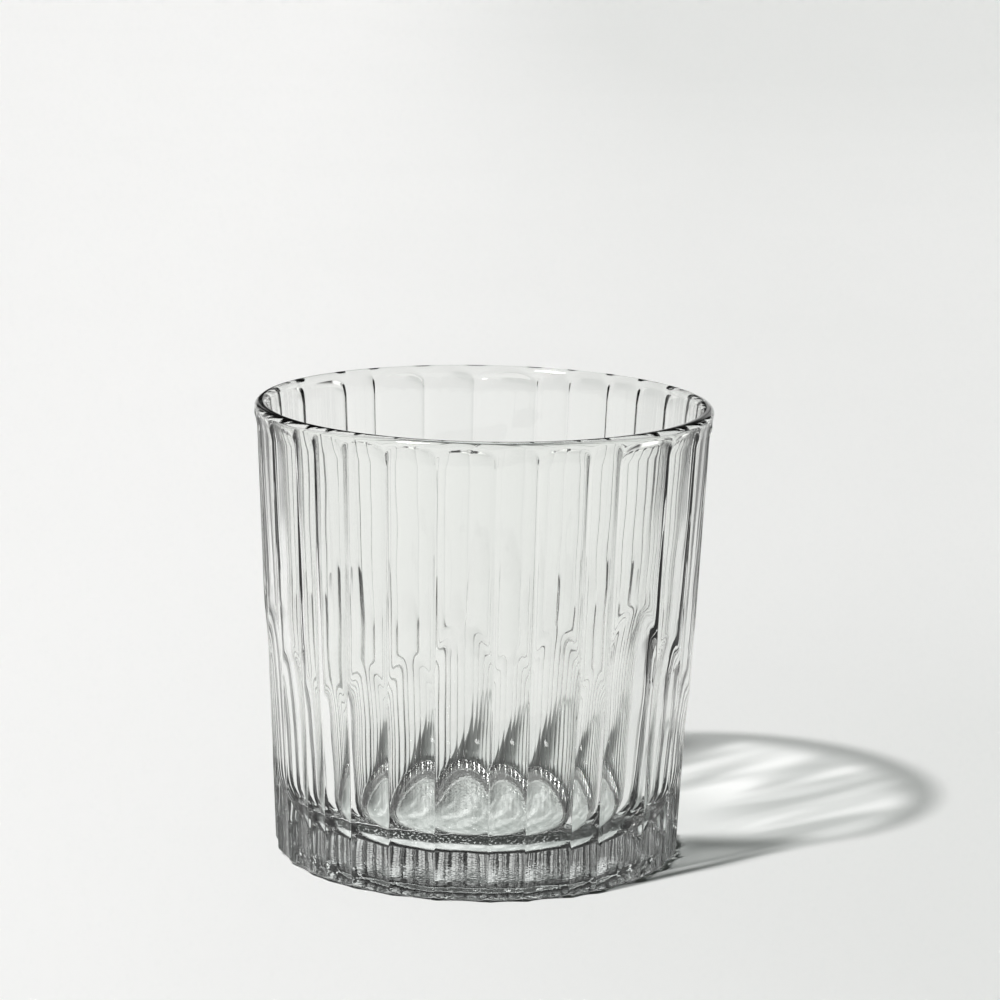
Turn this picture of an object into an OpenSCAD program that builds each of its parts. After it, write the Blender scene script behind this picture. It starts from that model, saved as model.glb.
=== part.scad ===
// Juice glass: a pressed clear tumbler with a round lip, flat panels of uneven width,
// and a hollow flute in the lower half of each panel, which runs out upward in an arch.
// Millimetres, +Z up, origin in the middle of the foot at table level. The front faces -Y.

/* [Size] */
// Diameter over the lip
rim_d = 80; // [68:0.5:92]
// Height from the table to the crown of the lip
glass_h = 80; // [72:0.5:96]
// How far the ridges lean in on each side, from the lip down to the table
side_taper = 3.55; // [2:0.05:5]

/* [Lip] */
// Thickness of the lip, which is round over its crown
lip_t = 2.4; // [2:0.1:2.8]
// Distance from the crown down to the tops of the panels
lip_band = 1.5; // [1.5:0.1:3]
// How far the lip stands out from the ridges below it
lip_proud = 0.45; // [0.3:0.05:0.7]
// Height over which a panel curves out into the lip
panel_run = 3; // [2:0.1:3]

/* [Base] */
// Thickness of the floor over the table
floor_t = 6.5; // [5:0.25:10]
// Wall at the floor, from the ridges in to the bore
floor_wall = 5.1; // [4.5:0.1:7]
// Radius between the inside wall and the floor
floor_r = 9; // [6:0.25:11]
// Radius of the heel, which rounds the bottom of the flutes and ridges in to the foot
heel_r = 3.6; // [2.5:0.1:4.5]
// Width of the flat ring that the glass stands on
foot_ring = 5.4; // [3:0.1:9]
// Depth of the shallow recess inside that ring
recess_depth = 0.8; // [0.3:0.1:1.5]
// Width of the recess's sloping edge
recess_edge = 2; // [1:0.25:3]

/* [Panels and flutes] */
// Direction of the first ridge, from the front towards +X
first_angle = -66; // [-180:1:180]
// Height of the lowest arch
arch_low = 36; // [32:0.5:40]
// Height of the highest arch
arch_high = 50.5; // [46:0.5:56]
// Length over which a flute comes to its full depth below its arch
arch_run = 16; // [12:0.5:20]
// Depth of a flute between its ridges, as a share of half its width
flute_share = 0.22; // [0.15:0.01:0.26]
// How far the flutes take the ridges down
ridge_drop = 0.42; // [0.3:0.01:0.5]
// Each panel in turn: its width in degrees, then its arch, from 0 for lowest to 1 for highest
panels = [
    [12.5, 0.30], [7.4, 0.03], [9.7, 0.03], [12.1, 0.35], [12.9, 0.52], [14.6, 0.95],
    [10.2, 0.65], [13.1, 0.86], [8.8, 0.30], [17.3, 1.00], [14, 0.55], [13, 0],
    [12.5, 0.07], [9.2, 0.66], [9.2, 0.56], [12.4, 0.34], [11.9, 0.91], [10.3, 0.28],
    [11.8, 0.65], [9, 0.16], [17, 0.90], [13.6, 0.09], [14.5, 0.13], [9.4, 0.02],
    [16.6, 0.71], [13.8, 0.40], [9.7, 0.80], [10, 0.85], [11.6, 1.00], [11.9, 0.72]
];

/* [Hidden] */
$fn = 96;
// Room that the cutters leave beyond the glass
spare = 1;
// The cutters work in this many passes, so that those of one pass stay clear of each other
pass_count = 3;
// A drawn curve of a profile has a flat for every so many degrees, and at least a given count
flat_angle = 7;
flat_count = 4;

lip_r = lip_t / 2;
// Height where the panels begin to curve out, and the joint of wall and lip a little below it
run_z = glass_h - lip_band - panel_run;
lip_z = run_z - panel_run / 4;
// The wall meets the base a little above the floor, so that neither ends in a thin edge
base_z = floor_t + 0.44 * floor_r;

// Radius over the ridges at a height, before the flutes take them down
foot_r = rim_d / 2 - lip_proud - side_taper;
ridge_slope = side_taper / run_z;
function ridge_at(z) = foot_r + ridge_slope * z;

// Inside wall: a straight cone from the floor's corner to the lip
corner_r = ridge_at(floor_t) - floor_wall;
bore_slope = (rim_d / 2 - lip_t - corner_r) / (glass_h - lip_r - floor_t);
function bore_at(z) = corner_r + bore_slope * (z - floor_t);
bore_lean = atan(bore_slope);
round_x = bore_at(floor_t + floor_r) - floor_r / cos(bore_lean);
// Turn of the floor's radius at the top of the base
base_turn = asin((floor_t + floor_r - base_z) / floor_r);

recess_r = foot_r - heel_r - foot_ring;

count = len(panels);
function width_before(i) = i == 0 ? 0 : width_before(i - 1) + panels[i - 1][0];
round_turn = width_before(count);
function half_turn(i) = panels[i][0] * 180 / round_turn;
function middle(i) = first_angle - 90 + width_before(i) * 360 / round_turn + half_turn(i);
function arch_top(i) = arch_low + panels[i][1] * (arch_high - arch_low);

// Points of an arc about [x, z], from one angle to another
function arc(x, z, r, from, to) = let (flats = max(flat_count, ceil(abs(to - from) / flat_angle))) [
    for (k = [0 : flats]) let (a = from + (to - from) * k / flats) [x + r * cos(a), z + r * sin(a)]
];

// The radius of an arc that leaves a line and is off it by a given depth after a given run
function run_radius(run, depth) = (run * run + depth * depth) / (2 * depth);

// Outside cutter of one flat panel, curved away at its top into the lip
module panel_cutter(i) {
    face = ridge_at(0) * cos(half_turn(i));
    lean = atan(ridge_slope * cos(half_turn(i)));
    depth = rim_d / 2 - ridge_at(run_z) * cos(half_turn(i));
    run_r = run_radius(panel_run, depth);
    turn = 1.3 * asin(panel_run / run_r);
    wide = 2 * sqrt(pow(rim_d / 2, 2) - pow(ridge_at(lip_z) * cos(half_turn(i)), 2)) + 2 * spare;
    deep = rim_d / 2 - face + 4 * spare;
    flat_top = run_z / cos(lean);
    flat_foot = base_z - 2 * spare;
    rotate([0, 0, middle(i)])
        translate([face, 0, 0])
        rotate([0, lean, 0])
        rotate([90, 0, 0])
        linear_extrude(height = wide, center = true)
        polygon(concat(
            [[deep, flat_foot], [0, flat_foot]],
            arc(run_r, flat_top, run_r, 180, 180 - turn),
            [[deep, flat_top + run_r * sin(turn)]]
        ));
}

// Outside cutter of one flute: a leaning rod with a long rounded nose at its arch
module flute_cutter(i) {
    ridge = ridge_at(0) - ridge_drop;
    half_w = ridge_at(arch_low / 2) * sin(half_turn(i));
    sag = flute_share * half_w;
    rod_r = run_radius(half_w, sag);
    depth = ridge_drop + sag;
    nose_r = run_radius(arch_run, depth);
    nose_turn = asin((arch_run + 2 * spare) / nose_r);
    shoulder = arch_top(i) - arch_run;
    rotate([0, 0, middle(i)])
        translate([ridge * cos(half_turn(i)) - sag, 0, 0])
        rotate([0, atan(ridge_slope), 0])
        translate([rod_r, 0, 0])
        rotate_extrude()
        polygon(concat(
            [[0, -spare], [rod_r, -spare]],
            arc(rod_r - nose_r, shoulder, nose_r, 0, nose_turn),
            [[0, shoulder + arch_run + 2 * spare]]
        ));
}

// One pass of cutters over what stands inside, every few panels from a first one
module cut_panels(first) {
    difference() {
        children();
        for (i = [first : pass_count : count - 1]) panel_cutter(i);
    }
}

module cut_flutes(first) {
    difference() {
        children();
        for (i = [first : pass_count : count - 1]) flute_cutter(i);
    }
}

// Lip: the round rim, with the tops of the panels curving out into it
module lip_ring() {
    color([0.86, 0.92, 0.9, 0.5])
        cut_panels(0) cut_panels(1) cut_panels(2)
        rotate_extrude() {
            polygon([
                [bore_at(lip_z), lip_z], [rim_d / 2, lip_z],
                [rim_d / 2, glass_h - lip_r], [rim_d / 2 - lip_t, glass_h - lip_r]
            ]);
            translate([rim_d / 2 - lip_r, glass_h - lip_r])
                intersection() {
                    circle(lip_r);
                    translate([-lip_r, 0]) square([lip_t, lip_r]);
                }
        }
}

// Wall: flat panels that meet in ridges, with the flutes and their arches in the lower half
module panelled_wall() {
    color([0.82, 0.9, 0.88, 0.5])
        cut_flutes(0) cut_flutes(1) cut_flutes(2)
        cut_panels(0) cut_panels(1) cut_panels(2)
        rotate_extrude()
        polygon(concat(
            [[ridge_at(base_z) + spare, base_z], [ridge_at(lip_z) + spare, lip_z], [bore_at(lip_z), lip_z]],
            arc(round_x, floor_t + floor_r, floor_r, -bore_lean, -base_turn)
        ));
}

// Base: the thick floor with the heel, the foot that the glass stands on, and the recess under it
module base() {
    color([0.76, 0.86, 0.84, 0.5])
        cut_flutes(0) cut_flutes(1) cut_flutes(2)
        rotate_extrude()
        polygon(concat(
            [[0, recess_depth], [recess_r - recess_edge, recess_depth], [recess_r, 0]],
            arc(foot_r - heel_r, heel_r, heel_r, -90, 0),
            [[ridge_at(base_z) + spare, base_z]],
            arc(round_x, floor_t + floor_r, floor_r, -base_turn, -90),
            [[0, floor_t]]
        ));
}

lip_ring();
panelled_wall();
base();
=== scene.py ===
import math
import bpy
import numpy as np
from mathutils import Matrix, Vector


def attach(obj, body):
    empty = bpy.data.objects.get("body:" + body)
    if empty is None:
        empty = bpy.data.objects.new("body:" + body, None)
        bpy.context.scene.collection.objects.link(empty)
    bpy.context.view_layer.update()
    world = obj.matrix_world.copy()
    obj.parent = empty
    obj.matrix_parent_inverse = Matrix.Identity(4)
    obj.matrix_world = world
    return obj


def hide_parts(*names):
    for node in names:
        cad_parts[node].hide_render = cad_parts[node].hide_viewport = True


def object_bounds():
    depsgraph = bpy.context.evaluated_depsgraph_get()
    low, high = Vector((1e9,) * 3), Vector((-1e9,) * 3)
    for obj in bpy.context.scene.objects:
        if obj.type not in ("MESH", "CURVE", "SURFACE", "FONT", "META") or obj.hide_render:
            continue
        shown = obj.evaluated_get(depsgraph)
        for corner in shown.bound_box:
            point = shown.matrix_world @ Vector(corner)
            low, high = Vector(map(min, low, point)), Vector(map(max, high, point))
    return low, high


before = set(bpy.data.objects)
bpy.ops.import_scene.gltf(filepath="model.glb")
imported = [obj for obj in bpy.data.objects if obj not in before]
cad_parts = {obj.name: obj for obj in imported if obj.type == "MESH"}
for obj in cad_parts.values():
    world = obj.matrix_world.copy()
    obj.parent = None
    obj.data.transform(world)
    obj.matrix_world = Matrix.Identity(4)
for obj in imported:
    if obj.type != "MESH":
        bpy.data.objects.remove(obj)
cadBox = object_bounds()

print("frame loaded:", ", ".join(sorted(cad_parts)))


# Node wiring: a wire is a socket that does sums, a bench is the tree it belongs to
class Wire:
    def __init__(self, bench, socket):
        self.bench, self.socket = bench, socket

    def maths(self, how, first, second):
        return self.bench.add("ShaderNodeMath", {"operation": how}, {0: first, 1: second})

    def __add__(self, other):
        return self.maths("ADD", self, other)

    def __radd__(self, other):
        return self.maths("ADD", other, self)

    def __sub__(self, other):
        return self.maths("SUBTRACT", self, other)

    def __rsub__(self, other):
        return self.maths("SUBTRACT", other, self)

    def __mul__(self, other):
        return self.maths("MULTIPLY", self, other)

    def __rmul__(self, other):
        return self.maths("MULTIPLY", other, self)

    def atLeast(self, other):
        return self.maths("MAXIMUM", self, other)

    def ease(self, low, high, lowValue=0.0, highValue=1.0):  # smooth step, falling where low is above high
        return self.bench.add("ShaderNodeMapRange", {"interpolation_type": "SMOOTHSTEP"}, {
            "Value": self, "From Min": low, "From Max": high, "To Min": lowValue, "To Max": highValue})


class Bench:
    def __init__(self, tree):
        self.tree = tree
        tree.nodes.clear()

    def add(self, kind, settings, sockets, out=0):  # settings first, then values or wires
        node = self.tree.nodes.new(kind)
        for name, value in settings.items():
            setattr(node, name, value)
        for name, value in sockets.items():
            if isinstance(value, Wire):
                self.tree.links.new(value.socket, node.inputs[name])
            else:
                node.inputs[name].default_value = value
        return Wire(self, node.outputs[out]) if len(node.outputs) else node

    def other(self, wire, out):  # another output of the node that a wire comes from
        return Wire(self, wire.socket.node.outputs[out])

    def vector(self, how, *ends, out="Vector"):
        return self.add("ShaderNodeVectorMath", {"operation": how}, dict(enumerate(ends)), out)

    def noise(self, place, size, detail=0.0):
        return self.add("ShaderNodeTexNoise", {}, {"Vector": place, "Scale": size, "Detail": detail})

    def mixColours(self, share, first, second):
        return self.add("ShaderNodeMix", {"data_type": "RGBA"}, {"Factor": share, 6: first, 7: second}, 2)

    def mixShaders(self, share, first, second):
        return self.add("ShaderNodeMixShader", {}, {0: share, 1: first, 2: second})

    def clear(self, colour):
        return self.add("ShaderNodeBsdfTransparent", {}, {"Color": colour})


def newPaint(name):  # a material and its bench
    paint = bpy.data.materials.new(name)
    paint.use_nodes = True
    return paint, Bench(paint.node_tree)


def newPiece(name, points, faces):
    mesh = bpy.data.meshes.new(name)
    mesh.from_pydata(points, [], faces)
    piece = bpy.data.objects.new(name, mesh)
    bpy.context.collection.objects.link(piece)
    return piece


# The glass, in millimetres, as wide and tall as the solids
glassForm = {
    "rimRadius": round(cadBox[1][0] * 1000, 1),
    "height": round(cadBox[1][2] * 1000, 1),
    "lipThickness": 2.4,
    "lipBand": 1.5,                # from the crown down to the tops of the panels
    "panelRun": 3.0,               # over this height a panel curves out into the lip
    "panelBend": 2,                # how steeply it does
    "lipProud": 0.45,              # lip beyond the ridges below it
    "footRadius": 36.0,            # ridges carried down to the table
    "heelRadius": 2.2,
    "floorThickness": 6.5,
    "floorRadius": 31.21,          # where the inside lines of wall and floor meet
    "floorFillet": 9.0,
    "recessRadius": 27.0,
    "recessDepth": 0.8,
    "recessEdge": 2.0,
    "firstRidge": -66.0,           # degrees from the front towards +X
    "panels": (                    # width in degrees, then the arch from lowest 0 to highest 1
        (12.5, 0.30), (7.4, 0.03), (9.7, 0.03), (12.1, 0.35), (12.9, 0.52), (14.6, 0.95),
        (10.2, 0.65), (13.1, 0.86), (8.8, 0.30), (17.3, 1.00), (14, 0.55), (13, 0),
        (12.5, 0.07), (9.2, 0.66), (9.2, 0.56), (12.4, 0.34), (11.9, 0.91), (10.3, 0.28),
        (11.8, 0.65), (9, 0.16), (17, 0.90), (13.6, 0.09), (14.5, 0.13), (9.4, 0.02),
        (16.6, 0.71), (13.8, 0.40), (9.7, 0.80), (10, 0.85), (11.6, 1.00), (11.9, 0.72),
    ),
    "panelSag": 0.02,              # the panels are all but flat
    "panelRound": 0.8,             # a panel's top corners run out this far below its middle
    "cornerPower": 4,              # and how late across the panel they begin to
    "cornerReach": 1.1,
    "edgeLift": 0.22,              # fine raised edges along a panel
    "edgeWidth": 0.9,
    "archLow": 36.0,
    "archHigh": 50.5,
    "archRun": 16.0,               # a flute is at full depth this far below its arch
    "archBend": 2.5,               # how steeply it ends there
    "fluteShare": 0.22,            # depth of a flute over half its width, at the foot
    "fluteShareUp": 0.30,          # and above the base
    "deepenFrom": 4.0,
    "deepenRun": 12.0,
    "ridgeDrop": 0.42,             # how far the flutes take the ridges down
    "ridgeSoft": 0.15,             # fire polish on ridges, arches and heel
    "archSoft": 0.3,
    "heelSoft": 0.2,
    "chillHeight": 0.065,          # slow waves that the cool plunger leaves on the inside
    "chillWaves": (                # share, then turns, climb and start of two waves that cross
        (1.0, (3, 0.11, 0.6), (2, 0.23, 0.0)),
        (0.7, (7, -0.17, 2.1), (-1, 0.31, 1.3)),
        (0.5, (12, 0.29, 4.0), (-5, 0.19, 0.0)),
    ),
    "chillTop": (3.0, 12.0),       # they begin this far below the crown, over this height
    "chillFoot": (4.0, 8.0),       # and this far above the floor
    "columnsPerPanel": 20,         # from here on, how finely the mesh is drawn
    "columnPull": 0.75,            # draws the columns towards the ridges
    "recessRings": (4, 10, 18),
    "recessSlope": (1, 0.85, 0.5, 0.15, 0),
    "heelRows": 19,
    "archZone": (29.0, 52.0),
    "lipLead": 0.5,
    "wallRows": (9, 48, 8, 14),    # below the arches, over them, above them, under the lip
    "lipRows": 17,
    "insideRows": 27,
    "filletRows": 14,
    "floorRings": (0.8, 0.5, 0.2, 0.1),
}
clearAway = 99.0                   # a radius beyond every wall


def panelLayout(form):  # directions of the ridges, and heights of the arches
    widths, arches = np.array(form["panels"], float).T
    ridges = form["firstRidge"] + np.concatenate([[0], np.cumsum(widths * 360 / widths.sum())])
    return ridges, form["archLow"] + (form["archHigh"] - form["archLow"]) * arches


def softMin(a, b, soft):  # the lesser of two, rounded where they cross
    near = np.maximum(soft - np.abs(a - b), 0) / soft
    return np.minimum(a, b) - near * near * soft / 4


def troughRadius(delta, half, ridge, sag, lift):  # a hollow between two ridges, seen from the axis
    chord = ridge * np.sin(half)
    bend = (chord ** 2 + sag ** 2) / (2 * sag)
    centre = ridge * np.cos(half) - sag + bend + lift
    inside = bend ** 2 - (centre * np.sin(delta)) ** 2
    near = centre * np.cos(delta) - np.sqrt(np.maximum(inside, 0))
    return np.where(inside <= 0, clearAway, near)


def runOut(depthLeft, length, bend, most=3):  # 0 where a cut has its full depth, 1 where it leaves the glass
    return np.clip(1 - depthLeft / length, 0, most) ** bend


def outsideRadius(bearing, z, form):
    ridges, arches = panelLayout(form)
    count = len(arches)
    own = np.clip(np.searchsorted(ridges, bearing, side="right") - 1, 0, count - 1)
    rim, drop, lifted = form["rimRadius"], form["ridgeDrop"], form["edgeLift"]
    panelTop = form["height"] - form["lipBand"]
    slope = (rim - form["lipProud"] - form["footRadius"]) / (panelTop - form["panelRun"])
    ridge = form["footRadius"] + slope * z
    deepen = np.clip((z - form["deepenFrom"]) / form["deepenRun"], 0, 1)
    share = form["fluteShare"] + (form["fluteShareUp"] - form["fluteShare"]) * deepen
    outside = None
    for step in (-1, 0, 1):  # each panel and its two neighbours
        i = (own + step) % count
        half = np.radians(ridges[i + 1] - ridges[i]) / 2
        delta = np.radians((bearing - (ridges[i + 1] + ridges[i]) / 2 + 180) % 360 - 180)
        across = np.minimum(np.abs(delta) / half, form["cornerReach"])
        corner = form["panelRound"] * across ** form["cornerPower"]
        rise = runOut(panelTop - corner - z, form["panelRun"], form["panelBend"])
        lift = rise * (rim - ridge * np.cos(half))
        panel = troughRadius(delta, half, ridge - lifted, form["panelSag"], lift)
        toEdge = ridge * (half - np.abs(delta))
        panel = panel + lifted * np.maximum(1 - toEdge / form["edgeWidth"], 0) ** 2
        sag = share * ridge * half
        lift = runOut(arches[i] - z, form["archRun"], form["archBend"]) * (drop + sag)
        flute = troughRadius(delta, half, ridge - drop, sag, lift)
        cut = softMin(panel, flute, form["archSoft"])
        outside = cut if outside is None else softMin(outside, cut, form["ridgeSoft"])
    return outside


def chillOffset(bearing, z, form):  # uneven inside wall, fading out at lip and floor
    turn = np.radians(bearing)
    waves = 0
    for share, one, two in form["chillWaves"]:
        crossing = [np.sin(turns * turn + climb * z + start) for turns, climb, start in (one, two)]
        waves = waves + share * crossing[0] * crossing[1]
    (topGap, topRun), (footGap, footRun) = form["chillTop"], form["chillFoot"]
    fade = np.clip((form["height"] - topGap - z) / topRun, 0, 1)
    fade = fade * np.clip((z - form["floorThickness"] - footGap) / footRun, 0, 1)
    return form["chillHeight"] * waves * fade


def glassColumns(form):  # directions of the mesh's columns, closer together at the ridges
    ridges, _ = panelLayout(form)
    share = np.arange(form["columnsPerPanel"]) / form["columnsPerPanel"]
    share = share - form["columnPull"] * np.sin(2 * np.pi * share) / (2 * np.pi)
    return np.concatenate([a + (b - a) * share for a, b in zip(ridges[:-1], ridges[1:])])


# The rows of the mesh, as radius and height, in one run from under the foot to the middle of the floor
def underRows(form):
    recess, deep = form["recessRadius"], form["recessDepth"]
    for r in form["recessRings"]:
        yield r, deep
    for share in form["recessSlope"]:
        yield recess - form["recessEdge"] * share, deep * (0.5 - 0.5 * math.cos(math.pi * share))
    yield (recess + form["footRadius"] - form["heelRadius"]) / 2, 0


def heelRows(form, outer):  # a round that the flutes cut into
    heel = form["heelRadius"]
    for turn in np.radians(np.linspace(0, 90, form["heelRows"])):
        z = heel * (1 - math.cos(turn))
        yield softMin(outer(z), form["footRadius"] - heel + heel * math.sin(turn), form["heelSoft"]), z


def wallRows(form, outer):  # close together over the arches and under the lip
    runZ = form["height"] - form["lipBand"] - form["panelRun"]
    lipFoot = form["height"] - form["lipThickness"] / 2
    stops = (form["heelRadius"], *form["archZone"], runZ - form["lipLead"], lipFoot)
    for low, high, rows in zip(stops[:-1], stops[1:], form["wallRows"]):
        for z in np.linspace(low, high, rows)[1:]:
            yield np.minimum(outer(z), form["rimRadius"]), z


def lipRows(form, outer):
    lip = form["lipThickness"] / 2
    for turn in np.radians(np.linspace(0, 180, form["lipRows"]))[1:]:
        z = form["height"] - lip + lip * math.sin(turn)
        crown = form["rimRadius"] - lip + lip * math.cos(turn)
        yield np.minimum(outer(z), crown) if turn <= math.pi / 2 else crown, z


def insideRows(form, bearing):  # the wall, the round at its foot, and the floor
    lip, fillet, floorZ = form["lipThickness"] / 2, form["floorFillet"], form["floorThickness"]
    mouth, top = form["rimRadius"] - 2 * lip, form["height"] - lip
    slope = (mouth - form["floorRadius"]) / (top - floorZ)
    lean = math.atan(slope)
    centre = form["floorRadius"] + slope * fillet - fillet / math.cos(lean)
    wallR, wallZ = centre + fillet * math.cos(lean), floorZ + fillet - fillet * math.sin(lean)
    for share in np.linspace(0, 1, form["insideRows"])[1:]:
        z = top + (wallZ - top) * share
        yield mouth + (wallR - mouth) * share + chillOffset(bearing, z, form), z
    for turn in np.linspace(-lean, -math.pi / 2, form["filletRows"])[1:]:
        yield centre + fillet * math.cos(turn), floorZ + fillet + fillet * math.sin(turn)
    for share in form["floorRings"]:
        yield centre * share, floorZ


def buildGlass(form):
    bearing = glassColumns(form)

    def outer(z):
        return outsideRadius(bearing, z, form)

    rows = [*underRows(form), *heelRows(form, outer), *wallRows(form, outer),
            *lipRows(form, outer), *insideRows(form, bearing)]
    around, up = len(bearing), len(rows)
    radius = np.array([np.broadcast_to(r, bearing.shape) for r, _ in rows], float)
    level = np.array([np.full(bearing.shape, float(z)) for _, z in rows])
    angle = np.radians(bearing)[None, :]
    points = np.stack([radius * np.sin(angle), -radius * np.cos(angle), level], -1).reshape(-1, 3)
    middles = [[0, 0, form["recessDepth"]], [0, 0, form["floorThickness"]]]
    points = np.vstack([points, middles]) / 1000  # to metres
    i, j = np.meshgrid(np.arange(up - 1), np.arange(around), indexing="ij")
    k = (j + 1) % around
    quads = [i * around + j, i * around + k, (i + 1) * around + k, (i + 1) * around + j]
    faces = np.stack(quads, -1).reshape(-1, 4).tolist()
    last = (up - 1) * around
    for j in range(around):  # fans in the middle of underside and floor
        k = (j + 1) % around
        faces += [(up * around, k, j), (up * around + 1, last + j, last + k)]
    glass = newPiece("tumbler", points.tolist(), faces)
    glass.data.polygons.foreach_set("use_smooth", np.ones(len(faces), bool))
    glass.data.update()
    print("tumbler:", len(faces), "faces,", up, "rows,", around, "columns")
    return glass


tumbler = buildGlass(glassForm)
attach(tumbler, "root")
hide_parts("lip_ring", "panelled_wall", "base")


# The lamp, which the glass's shade and the sky follow too
lampLook = {
    "towards": (47, 44, -80),                # the way its light goes
    "power": 4.0,
    "angle": 3.0,
    "spotWidth": 13.0,                       # a painted highlight: the lamp as the glass shows it, degrees
    "spotSoft": (0.55, 0.45),                # its edge, from dark to bright, in shares of that
    "spotStrength": 60,
}


# Clear pressed glass: faint mist, uneven sides to the base, a grained underside, and the painted light and
# shade it passes on to the table. Heights and spans are in metres, and a pattern's size is its count in a
# metre.
glassFinish = {
    "tint": (0.962, 0.970, 0.957, 1),
    "thickTint": (0.940, 0.975, 0.965, 1),   # towards the heavy base
    "thickRise": (0.014, 0.002),
    "index": 1.52,
    "underTop": (0.0010, 0.0008),            # recess and standing ring
    "underRough": 0.04,
    "grainSize": 900,
    "grainHeight": 0.00005,
    "sideTop": (0.0125, 0.0105),             # the base's sides
    "sideSpan": (0.0325, 0.0335),
    "waveSize": 420,
    "mistSize": 130,
    "mistDetail": 1.0,
    "mistEdge": (0.66, 0.74),
    "mistRough": 0.03,
    "shadeFace": (1.13, 1.13, 1.13, 1),      # light gathered on the table, and the lanes between
    "shadeLane": (0.83, 0.84, 0.835, 1),
    "laneSize": 190,
    "laneDraw": (1, 1, 0.1),                 # drawn out upward
    "laneEdge": (0.38, 0.62),
    "laneRise": (0.012, 0.040),              # even low on the walls
    "wallSpan": (0.029, 0.032),              # walls, not floor or recess
    "shadeFlank": (0.60, 0.61, 0.605, 1),    # flutes that the lamp skims, at the front and at the back
    "flankRise": 10,                         # they narrow upward
    "flankEdge": (0.42, 0.66),               # how far round they reach, with a soft edge
    "shadeBack": (0.41, 0.42, 0.415, 1),
    "backRise": 4,
    "backEdge": (0.20, 0.56),
    "shadeLip": (0.70, 0.71, 0.705, 1),
    "lipRise": (0.066, 0.077),
    "shadeBase": (0.03, 0.035, 0.032, 1),    # under the standing ring
    "ringTop": (0.0035, 0.0015),
    "ringSpan": (0.0265, 0.0285),
    "dotSize": 1000,                         # painted points of light there
    "dotEdge": (0.62, 0.66),
    "barSize": 320,                          # painted shade in bars on the table under the foot, behind the middle
    "barDraw": (1, 0.12, 1),
    "barEdge": (0.48, 0.58),
    "barDepth": (-0.006, 0.008),
    "barShare": 0.25,
}


def glassBody(bench, finish, place, height, span):
    under = height.ease(*finish["underTop"])
    sides = height.ease(*finish["sideTop"]) * span.ease(*finish["sideSpan"])
    grain = bench.noise(place, finish["grainSize"])
    wave = bench.noise(place, finish["waveSize"])
    mist = bench.noise(place, finish["mistSize"], finish["mistDetail"])
    bump = bench.add("ShaderNodeBump", {}, {
        "Strength": 1.0, "Distance": finish["grainHeight"], "Height": grain * under + wave * sides})
    tone = bench.mixColours(height.ease(*finish["thickRise"]), finish["tint"], finish["thickTint"])
    rough = mist.ease(*finish["mistEdge"]) * finish["mistRough"] + under * finish["underRough"]
    return bench.add("ShaderNodeBsdfPrincipled", {}, {
        "Base Color": tone, "Roughness": rough, "Normal": bump,
        "IOR": finish["index"], "Transmission Weight": 1.0})


# Painted light and shade on the table: gathered lanes, darker flanks and lip ring, and dark under the foot
def glassShade(bench, finish, lamp, place, height, span, flat):  # what the lamp's light meets
    walls = span.ease(*finish["wallSpan"])
    lanes = bench.noise(bench.vector("MULTIPLY", place, finish["laneDraw"]), finish["laneSize"])
    strong = height.ease(*finish["laneRise"]).atLeast(1 - walls)
    laneShare = (lanes.ease(*finish["laneEdge"]) - 0.5) * strong + 0.5
    shade = bench.mixShaders(laneShare, bench.clear(finish["shadeFace"]), bench.clear(finish["shadeLane"]))
    alongX, alongY, _ = lamp["towards"]
    across = Vector((alongY, -alongX, 0)).normalized()
    aside = bench.vector("DOT_PRODUCT", bench.vector("NORMALIZE", flat), tuple(across), out="Value")
    for side, rise, edge, dark in ((aside, "flankRise", "flankEdge", "shadeFlank"),
                                   (0 - aside, "backRise", "backEdge", "shadeBack")):
        skim = (side - height * finish[rise]).ease(*finish[edge]) * walls
        shade = bench.mixShaders(skim, shade, bench.clear(finish[dark]))
    shade = bench.mixShaders(height.ease(*finish["lipRise"]), shade, bench.clear(finish["shadeLip"]))
    # painted shade under the standing ring, broken by painted points of light, and painted bars behind the
    # middle
    dots = bench.noise(place, finish["dotSize"])
    ring = height.ease(*finish["ringTop"]) * span.ease(*finish["ringSpan"])
    underShade = ring * (1 - dots.ease(*finish["dotEdge"]))
    bars = bench.noise(bench.vector("MULTIPLY", place, finish["barDraw"]), finish["barSize"])
    behind = bench.other(height, "Y").ease(*finish["barDepth"]) * height.ease(*finish["underTop"])
    underShade = underShade.atLeast(bars.ease(*finish["barEdge"]) * behind * finish["barShare"])
    return bench.mixShaders(underShade, shade, bench.clear(finish["shadeBase"]))


def paintGlass(finish, lamp):
    paint, bench = newPaint("clearPressedGlass")
    place = bench.add("ShaderNodeTexCoord", {}, {}, "Object")
    height = bench.add("ShaderNodeSeparateXYZ", {}, {0: place}, "Z")
    flat = bench.vector("MULTIPLY", place, (1, 1, 0))
    span = bench.vector("LENGTH", flat, out="Value")
    body = glassBody(bench, finish, place, height, span)
    shade = glassShade(bench, finish, lamp, place, height, span, flat)
    lamplight = bench.add("ShaderNodeLightPath", {}, {}, "Is Shadow Ray")
    bounced = bench.other(lamplight, "Is Diffuse Ray")
    both = bench.mixShaders(lamplight.atLeast(bounced), body, shade)  # the table's light goes straight on
    bench.add("ShaderNodeOutputMaterial", {}, {"Surface": both})
    return paint


tumbler.data.materials.append(paintGlass(glassFinish, lampLook))
print("glass painted")


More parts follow.
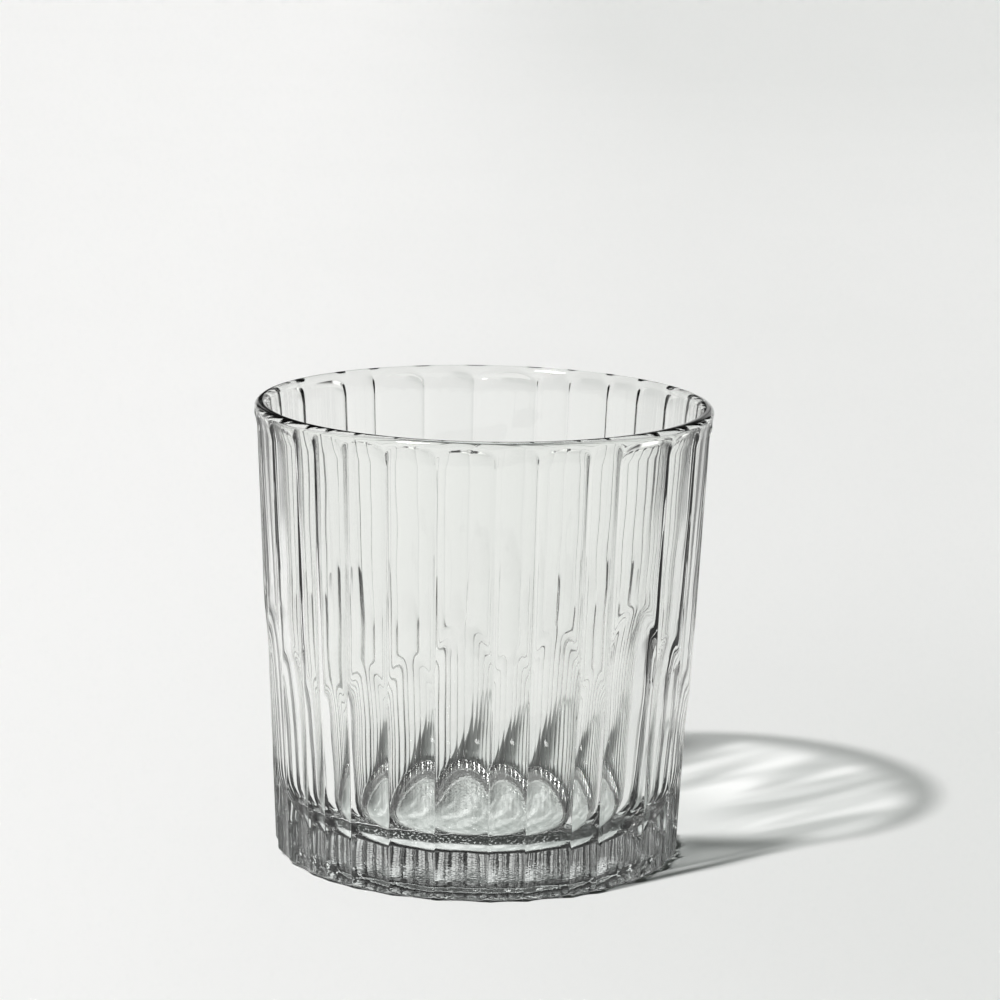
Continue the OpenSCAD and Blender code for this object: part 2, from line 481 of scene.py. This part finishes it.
# Pale table, in metres, with painted light: lighter on the left, dimmer on the right
floorLook = {
    "half": 12.0,
    "drop": 0.00006,                         # keeps the standing ring off the table's plane
    "light": (0.915, 0.915, 0.905, 1),       # painted lit side, left of the glass
    "dim": (0.76, 0.77, 0.755, 1),           # painted dim side, right of it
    "dimSpan": (-0.12, 0.12),
    "dimShare": 1.1,
    "behindNear": (0.0, 0.3),                # a painted lighter stretch behind the glass
    "behindFar": (1.8, 0.8),
    "behindShare": 0.45,
    "cloudSize": 9.0,
    "cloudDetail": 3.0,
    "cloudShare": 0.12,
    "rough": 0.7,
    "gloss": 0.1,
}


def setFloor(look):
    half, z = look["half"], -look["drop"]
    corners = [(-half, -half, z), (half, -half, z), (half, half, z), (-half, half, z)]
    floor = newPiece("floor", corners, [(0, 1, 2, 3)])
    paint, bench = newPaint("paleTable")
    place = bench.add("ShaderNodeTexCoord", {}, {}, "Object")
    across = bench.add("ShaderNodeSeparateXYZ", {}, {0: place}, "X")
    depth = bench.other(across, "Y")
    clouds = bench.noise(place, look["cloudSize"], look["cloudDetail"])
    # painted light: the table dims towards the right, less so just behind the glass
    behind = depth.ease(*look["behindNear"]) * depth.ease(*look["behindFar"])
    side = across.ease(*look["dimSpan"]) * (look["dimShare"] - behind * look["behindShare"])
    side = side + (clouds - 0.5) * look["cloudShare"]
    tone = bench.mixColours(side, look["light"], look["dim"])
    body = bench.add("ShaderNodeBsdfPrincipled", {}, {
        "Base Color": tone, "Roughness": look["rough"], "Specular IOR Level": look["gloss"]})
    bench.add("ShaderNodeOutputMaterial", {}, {"Surface": body})
    floor.data.materials.append(paint)


# Dark strips beside the glass, which only the glass shows, as painted dark reflections
cardLook = {
    "angles": (30, 37.5, 52.5, 60, 67.5, 75),  # degrees from the back, on both sides
    "span": 6.0,
    "away": 0.17,
    "height": 0.30,
    "fade": 0.03,                            # they fade in over this height
    "crossings": (2.4, 2.6),                 # and don't show through one wall alone
    "tone": (0.03, 0.03, 0.03, 1),
}


def paintCards(look):
    stripPaint, bench = newPaint("darkStripsInGlass")
    place = bench.add("ShaderNodeTexCoord", {}, {}, "Object")
    above = bench.add("ShaderNodeSeparateXYZ", {}, {0: place}, "Z")
    crossed = bench.add("ShaderNodeLightPath", {}, {}, "Ray Depth")
    # painted dark reflection: the strips show only deep in the glass
    shown = above.ease(0, look["fade"]) * crossed.ease(*look["crossings"])
    body = bench.add("ShaderNodeBsdfDiffuse", {}, {"Color": look["tone"]})
    both = bench.mixShaders(shown, bench.clear((1, 1, 1, 1)), body)
    bench.add("ShaderNodeOutputMaterial", {}, {"Surface": both})
    return stripPaint


def setCards(look):
    stripPaint = paintCards(look)
    away, tall = look["away"], look["height"]
    half = away * math.tan(math.radians(look["span"] / 2))
    corners = [(-half, 0, 0), (half, 0, 0), (half, 0, tall), (-half, 0, tall)]
    for angle in [side * angle for angle in look["angles"] for side in (-1, 1)]:
        card = newPiece("card", corners, [(0, 1, 2, 3)])
        turn = math.radians(angle)
        card.location = (away * math.sin(turn), away * math.cos(turn), 0)
        card.rotation_euler = (0, 0, -turn)
        card.visible_camera = card.visible_shadow = card.visible_diffuse = False
        card.data.materials.append(stripPaint)


# The sky, which also shows the lamp to the glass. A span is of a direction's unit vector.
skyLook = {
    "colour": (1.0, 1.0, 0.985, 1),
    "back": 0.9,
    "front": 0.05,
    "turnSpan": (-0.1, 0.6),                 # from front to back
    "middle": 0.37,                          # dimmer above the horizon
    "middleSpan": (0.02, 0.14),
    "overhead": 0.15,
    "overheadSpan": (0.25, 0.38),
    "slatSize": 5,                           # upright bars of light and dark low down, in a radian
    "slatEdge": (0.42, 0.58),
    "slatContrast": 0.95,
    "slatSpan": (0.03, 0.08),
}


def setLamp(look):
    lamp = bpy.data.lights.new("lamp", "SUN")
    lamp.energy = look["power"]
    lamp.angle = math.radians(look["angle"])
    holder = bpy.data.objects.new("lamp", lamp)
    bpy.context.collection.objects.link(holder)
    holder.rotation_euler = Vector(look["towards"]).to_track_quat("-Z", "Y").to_euler()


def setSky(look, lamp):
    sky = bpy.data.worlds.new("softStudio")
    bpy.context.scene.world = sky
    sky.use_nodes = True
    bench = Bench(sky.node_tree)
    place = bench.add("ShaderNodeTexCoord", {}, {}, "Generated")
    depth = bench.add("ShaderNodeSeparateXYZ", {}, {0: place}, "Y")
    above, across = bench.other(depth, "Z"), bench.other(depth, "X")
    strength = depth.ease(*look["turnSpan"], look["front"], look["back"])
    strength = strength * above.ease(*look["middleSpan"], 1, look["middle"])
    strength = strength * above.ease(*look["overheadSpan"], 1, look["overhead"])
    turn = bench.add("ShaderNodeMath", {"operation": "ARCTAN2"}, {0: across, 1: depth})
    slats = bench.add("ShaderNodeTexNoise", {"noise_dimensions": "1D"}, {
        "W": turn, "Scale": look["slatSize"], "Detail": 0.0})
    swing = slats.ease(*look["slatEdge"], -look["slatContrast"], look["slatContrast"])
    strength = strength * (1 + swing * above.ease(*look["slatSpan"]))
    # painted highlight: a bright spot where the lamp is, seen only by rays the glass turns
    lampSide = -Vector(lamp["towards"]).normalized()
    inLamp = bench.vector("DOT_PRODUCT", place, tuple(lampSide), out="Value")
    rim, core = (math.cos(math.radians(lamp["spotWidth"] * share)) for share in lamp["spotSoft"])
    mirrored = bench.add("ShaderNodeLightPath", {}, {}, "Is Glossy Ray")
    byGlass = mirrored.atLeast(bench.other(mirrored, "Is Transmission Ray"))
    strength = strength + inLamp.ease(rim, core, 0, lamp["spotStrength"]) * byGlass
    light = bench.add("ShaderNodeBackground", {}, {"Color": look["colour"], "Strength": strength})
    bench.add("ShaderNodeOutputWorld", {}, {"Surface": light})


setFloor(floorLook)
setCards(cardLook)
setSky(skyLook, lampLook)
setLamp(lampLook)
print("stage set")


# Camera, as the photograph was taken
viewPoint = {
    "place": (0, -0.700, 0.2016),            # metres
    "pitch": 11.234,                         # degrees down
    "roll": 1.116,
    "yaw": 0.247,
    "lens": 147.01,                          # millimetres, on this sensor
    "sensor": 36,
}


def setCamera(view):
    pitch, roll, yaw = (math.radians(view[k]) for k in ("pitch", "roll", "yaw"))
    forward = Vector((math.sin(yaw) * math.cos(pitch), math.cos(yaw) * math.cos(pitch), -math.sin(pitch)))
    level = Vector((math.cos(yaw), -math.sin(yaw), 0))
    under = forward.cross(level)
    right = math.cos(roll) * level - math.sin(roll) * under
    down = math.sin(roll) * level + math.cos(roll) * under
    camera = bpy.data.cameras.new("camera")
    camera.sensor_width = view["sensor"]
    camera.lens = view["lens"]
    holder = bpy.data.objects.new("camera", camera)
    bpy.context.collection.objects.link(holder)
    stand = Matrix((right, -down, -forward)).transposed().to_4x4()
    stand.translation = Vector(view["place"])
    holder.matrix_world = stand
    bpy.context.scene.camera = holder


setCamera(viewPoint)
bpy.context.scene.view_settings.view_transform = "Standard"
print("camera set")
